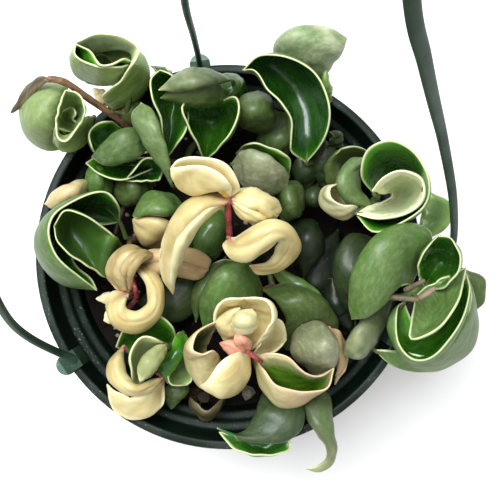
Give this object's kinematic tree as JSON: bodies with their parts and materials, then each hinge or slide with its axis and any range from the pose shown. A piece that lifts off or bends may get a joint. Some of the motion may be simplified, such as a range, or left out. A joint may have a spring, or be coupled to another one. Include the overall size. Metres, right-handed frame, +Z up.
{
  "type": "potted hindu rope plant",
  "caption": "Hanging basket with short vines of curled, folded waxy leaves, green with cream margins, over dark soil, and a three-armed hanger with a hook.",
  "frame": {"origin": "centre of the basket's flat base, on the basket's axis, at the height of the surface it stands on", "axes": "+Z up along the basket's axis; +Y to the side that the hanger leans to, the top of the picture; +X to the picture's right"},
  "size_m": [0.2411, 0.2185, 0.534],
  "materials": {
    "pot": "dark green moulded plastic, dusty on the rim",
    "soil": "dark potting soil with crumbs and perlite",
    "hanger": "grey-green moulded plastic, satin",
    "green_leaf": "thick waxy leaf, glossy, green with cream margins",
    "cream_leaf": "thick waxy leaf, satin, cream with a pink tinge",
    "dry_leaf": "withered, brown and matt"
  },
  "bodies": {
    "root": {"pot": "pot", "soil": "soil", "hanger_hook": "hanger", "hanger_arm_north": "hanger", "hanger_arm_west": "hanger", "hanger_arm_east": "hanger", "vine_ring_leaf": "green_leaf", "vine_snail_leaf": "green_leaf", "withered_stem": "dry_leaf", "vine_west": "green_leaf", "vine_big_west_leaf": "green_leaf", "vine_two_tone": "green_leaf", "vine_north": "green_leaf", "vine_ball_leaf": "green_leaf", "vine_crescent_leaf": "green_leaf", "vine_grey_leaf": "green_leaf", "cream_crown": "cream_leaf", "cream_curl": "cream_leaf", "vine_centre": "green_leaf", "cream_loop": "cream_leaf", "vine_south_west": "green_leaf", "cream_rose": "cream_leaf", "vine_bulb_leaf": "green_leaf", "vine_south": "green_leaf", "vine_rosette": "green_leaf", "vine_east": "green_leaf", "fallen_leaf": "dry_leaf"}
  },
  "joints": []
}
